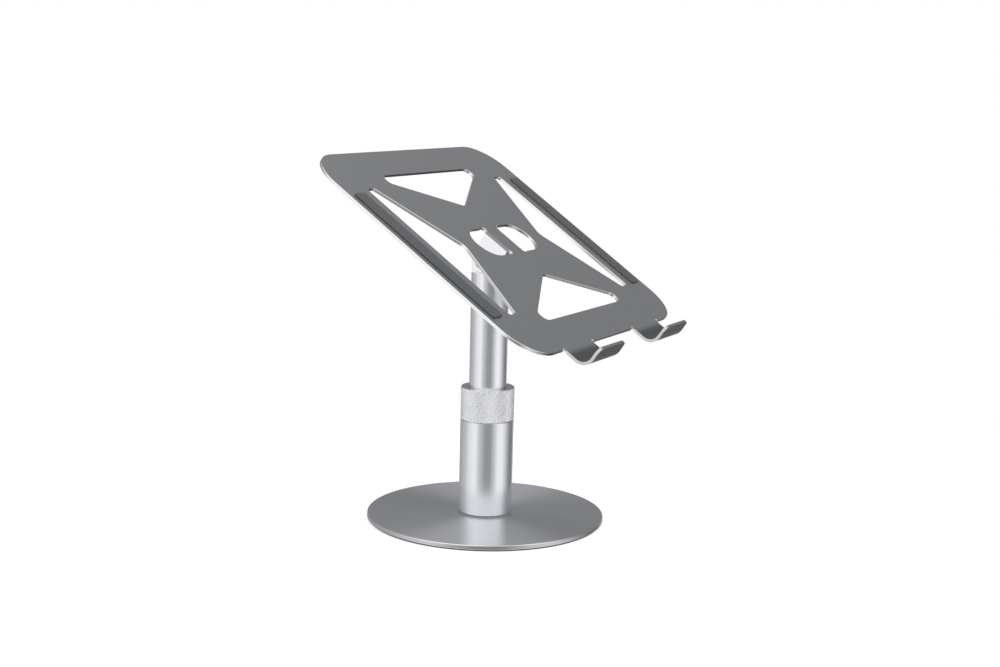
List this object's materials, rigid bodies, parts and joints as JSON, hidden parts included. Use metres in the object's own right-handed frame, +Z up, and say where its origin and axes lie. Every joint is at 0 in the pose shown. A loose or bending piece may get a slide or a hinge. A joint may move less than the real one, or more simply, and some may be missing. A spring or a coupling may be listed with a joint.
{
  "type": "rotating laptop stand",
  "caption": "Laptop stand with a perforated tilting tray, front hooks, telescopic column with a knurled lock ring, and a round swivel base.",
  "frame": {"origin": "centre of the base pad's underside, on the desk", "axes": "+Z up, +X across the tray to the user's right, +Y away from the user, towards the tray's raised rear edge"},
  "size_m": [0.277, 0.2456, 0.3097],
  "materials": {
    "pad_rubber": "matt",
    "base_metal": "satin",
    "hardware_steel": "zinc plated",
    "collar_plastic": "satin",
    "tube_metal": "satin, fine turned",
    "inner_metal": "machined",
    "slide_plastic": "matt",
    "ring_metal": "knurled, bright",
    "head_metal": "bright",
    "tray_metal": "bead blasted and anodised",
    "strip_rubber": "matt"
  },
  "bodies": {
    "base": {"base_pad": "pad_rubber", "base_disc": "base_metal", "pivot_shaft": "hardware_steel", "pivot_screw_1": "hardware_steel", "pivot_screw_2": "hardware_steel", "pivot_screw_3": "hardware_steel", "foot_collar": "collar_plastic", "pivot_washer": "hardware_steel", "pivot_spring_washer": "hardware_steel", "pivot_nut": "hardware_steel"},
    "column": {"lower_tube": "tube_metal", "bottom_plug": "inner_metal", "clamp_neck": "inner_metal", "clamp_collet": "slide_plastic"},
    "ring": {"lock_ring": "ring_metal"},
    "mast": {"upper_tube": "tube_metal", "guide_bush": "slide_plastic", "hinge_head": "head_metal"},
    "tray": {"tray_plate": "tray_metal", "strip_left": "strip_rubber", "strip_right": "strip_rubber", "hinge_bolt": "hardware_steel", "hinge_nut": "hardware_steel", "hinge_washer_left": "hardware_steel", "hinge_washer_right": "hardware_steel", "friction_washer_left": "slide_plastic", "friction_washer_right": "slide_plastic"}
  },
  "joints": [
    {"name": "swivel", "type": "hinge", "parent": "base", "child": "column", "pos_m": [0, 0, 0.0065], "axis": [0, 0, 1], "continuous": true},
    {"name": "ring_turn", "type": "hinge", "parent": "column", "child": "ring", "pos_m": [0, 0, 0.1], "axis": [0, 0, 1], "range_deg": [0, 120]},
    {"name": "mast_slide", "type": "slide", "parent": "column", "child": "mast", "axis": [0, 0, 1], "range_m": [-0.047, 0.0025]},
    {"name": "tray_tilt", "type": "hinge", "parent": "mast", "child": "tray", "pos_m": [0, 0, 0.2224], "axis": [1, 0, 0], "range_deg": [-34.1, 25.9]}
  ]
}
